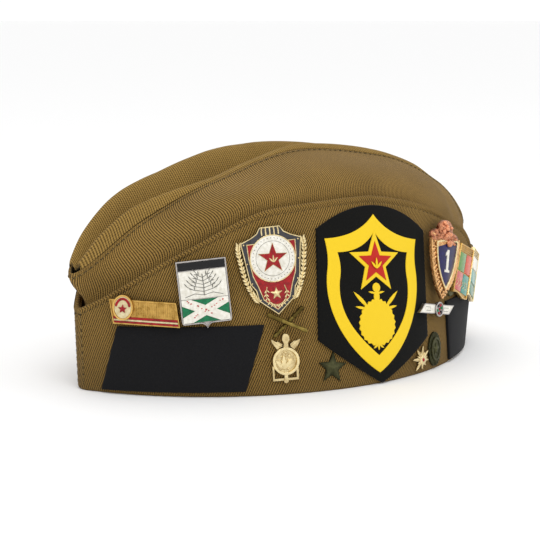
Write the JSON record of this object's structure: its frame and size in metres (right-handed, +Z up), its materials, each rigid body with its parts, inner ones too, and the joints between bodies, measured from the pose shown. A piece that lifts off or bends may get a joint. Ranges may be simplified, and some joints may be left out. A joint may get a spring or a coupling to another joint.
{
  "type": "garrison cap",
  "caption": "Folding cloth side cap with a turned-up band, a dented two-ridge crown, two dark tabs, a shield patch and enamelled pins on one side.",
  "frame": {"origin": "on the floor, below the middle of the cap's box", "axes": "+X to the front of the cap, +Y to the wearer's left, +Z up"},
  "size_m": [0.2406, 0.1462, 0.1106],
  "materials": {
    "twill": "wool twill, matt, olive brown",
    "black_cloth": "matt black cloth",
    "yellow_print": "matt yellow print on cloth",
    "red_print": "matt red print on cloth",
    "gilt": "stamped and gilt, worn bright on the edges",
    "steel": "nickel-plated, satin",
    "dark_olive": "dull dark green paint",
    "rod_olive": "satin olive paint",
    "white_enamel": "glossy enamel",
    "red_enamel": "glossy enamel",
    "green_enamel": "glossy enamel",
    "black_enamel": "glossy enamel",
    "blue_enamel": "glossy enamel"
  },
  "bodies": {
    "root": {"flap_right": "twill", "flap_left": "twill", "crown_wall_right": "twill", "crown_wall_left": "twill", "crown_top": "twill", "tab_back": "black_cloth", "tab_front": "black_cloth", "patch_backing": "black_cloth", "patch_border": "yellow_print", "patch_star": "red_print", "patch_spray": "yellow_print", "bar_badge": "gilt", "bar_star": "red_enamel", "shield_badge": "steel", "shield_header": "black_enamel", "shield_field": "white_enamel", "shield_green": "green_enamel", "shield_saltire": "white_enamel", "merit_badge": "steel", "merit_disc": "white_enamel", "merit_star": "red_enamel", "merit_field": "red_enamel", "merit_low_star": "gilt", "crossed_barrels": "rod_olive", "gilt_emblem": "gilt", "small_star": "dark_olive", "gilt_spray": "gilt", "oval_cockade": "dark_olive", "lozenge_pin": "white_enamel", "lozenge_disc": "steel", "class_badge": "gilt", "class_field": "blue_enamel", "class_figure": "white_enamel", "flag_badge": "gilt", "flag_field": "green_enamel", "end_badge": "gilt", "end_field": "white_enamel", "cloth_knot": "dark_olive"}
  },
  "joints": []
}
